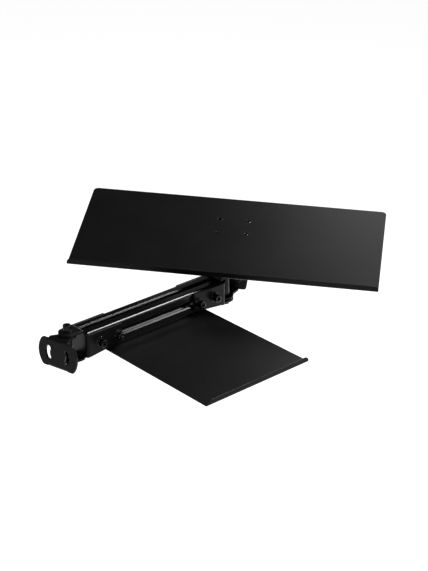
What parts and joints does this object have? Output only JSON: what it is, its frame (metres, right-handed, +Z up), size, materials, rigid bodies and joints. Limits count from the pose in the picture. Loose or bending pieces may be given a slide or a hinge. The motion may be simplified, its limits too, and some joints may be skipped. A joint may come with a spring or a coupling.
{
  "type": "sim rig keyboard tray",
  "caption": "Jointed arm that bolts to a driving rig and carries a tilted sheet steel keyboard tray at its end and a sliding mouse tray under its slotted aluminium profile.",
  "frame": {"origin": "middle of the rig plate's mounting face, half way between its two curved slots", "axes": "+X out of the rig towards the arm, +Z up along the pivots, +Y to the left of the arm"},
  "size_m": [0.5969, 0.5533, 0.1402],
  "materials": {
    "powder_coated_steel": "satin black powder coat",
    "anodised_aluminium": "satin black anodised",
    "black_screw_steel": "black oxide",
    "zinc_plated_steel": "zinc plated",
    "nylon": "black nylon"
  },
  "bodies": {
    "rig_side": {"rig_bracket": "powder_coated_steel", "rig_pivot_screw": "black_screw_steel", "rig_pivot_washers": "black_screw_steel", "rig_pivot_sleeve": "black_screw_steel", "rig_pivot_nut": "black_screw_steel", "rig_thrust_washers": "nylon"},
    "arm": {"arm_bracket_rig_end": "powder_coated_steel", "arm_profile": "anodised_aluminium", "arm_bracket_tray_end": "powder_coated_steel", "side_screws_rig_end": "black_screw_steel", "side_washers_rig_end": "black_screw_steel", "spring_washers_rig_end": "black_screw_steel", "slot_nuts_rig_end": "zinc_plated_steel", "side_screws_tray_end": "black_screw_steel", "side_washers_tray_end": "black_screw_steel", "spring_washers_tray_end": "black_screw_steel", "slot_nuts_tray_end": "zinc_plated_steel", "tray_pivot_screw": "black_screw_steel", "tray_pivot_washers": "black_screw_steel", "tray_pivot_sleeve": "black_screw_steel", "tray_pivot_nut": "black_screw_steel", "tray_thrust_washers": "nylon"},
    "turning_bracket": {"tray_bracket": "powder_coated_steel"},
    "keyboard_platform": {"tray_mount": "powder_coated_steel", "keyboard_tray": "powder_coated_steel", "tilt_clamp_screws": "black_screw_steel", "tilt_clamp_washers": "black_screw_steel", "tilt_clamp_nuts": "zinc_plated_steel", "tray_screws": "black_screw_steel", "tray_screw_washers": "zinc_plated_steel", "tray_screw_nuts": "zinc_plated_steel"},
    "mouse_platform": {"mouse_tray": "powder_coated_steel", "mouse_tray_screws": "black_screw_steel", "mouse_tray_washers": "black_screw_steel", "mouse_tray_slot_nuts": "zinc_plated_steel"}
  },
  "joints": [
    {"name": "arm_swing", "type": "hinge", "parent": "rig_side", "child": "arm", "pos_m": [0.025, 0, 0], "axis": [0, 0, 1], "range_deg": [-47, 73]},
    {"name": "tray_swing", "type": "hinge", "parent": "arm", "child": "turning_bracket", "pos_m": [0.34654, -0.07423, 0], "axis": [0, 0, 1], "range_deg": [-95, 15]},
    {"name": "tray_roll", "type": "hinge", "parent": "turning_bracket", "child": "keyboard_platform", "pos_m": [0.37594, -0.05925, 0.01], "axis": [0.891, 0.454, 0], "range_deg": [-10.8, 7.2]},
    {"name": "mouse_slide", "type": "slide", "parent": "arm", "child": "mouse_platform", "axis": [0.9744, -0.225, 0], "range_m": [-0.01, 0.01]}
  ]
}
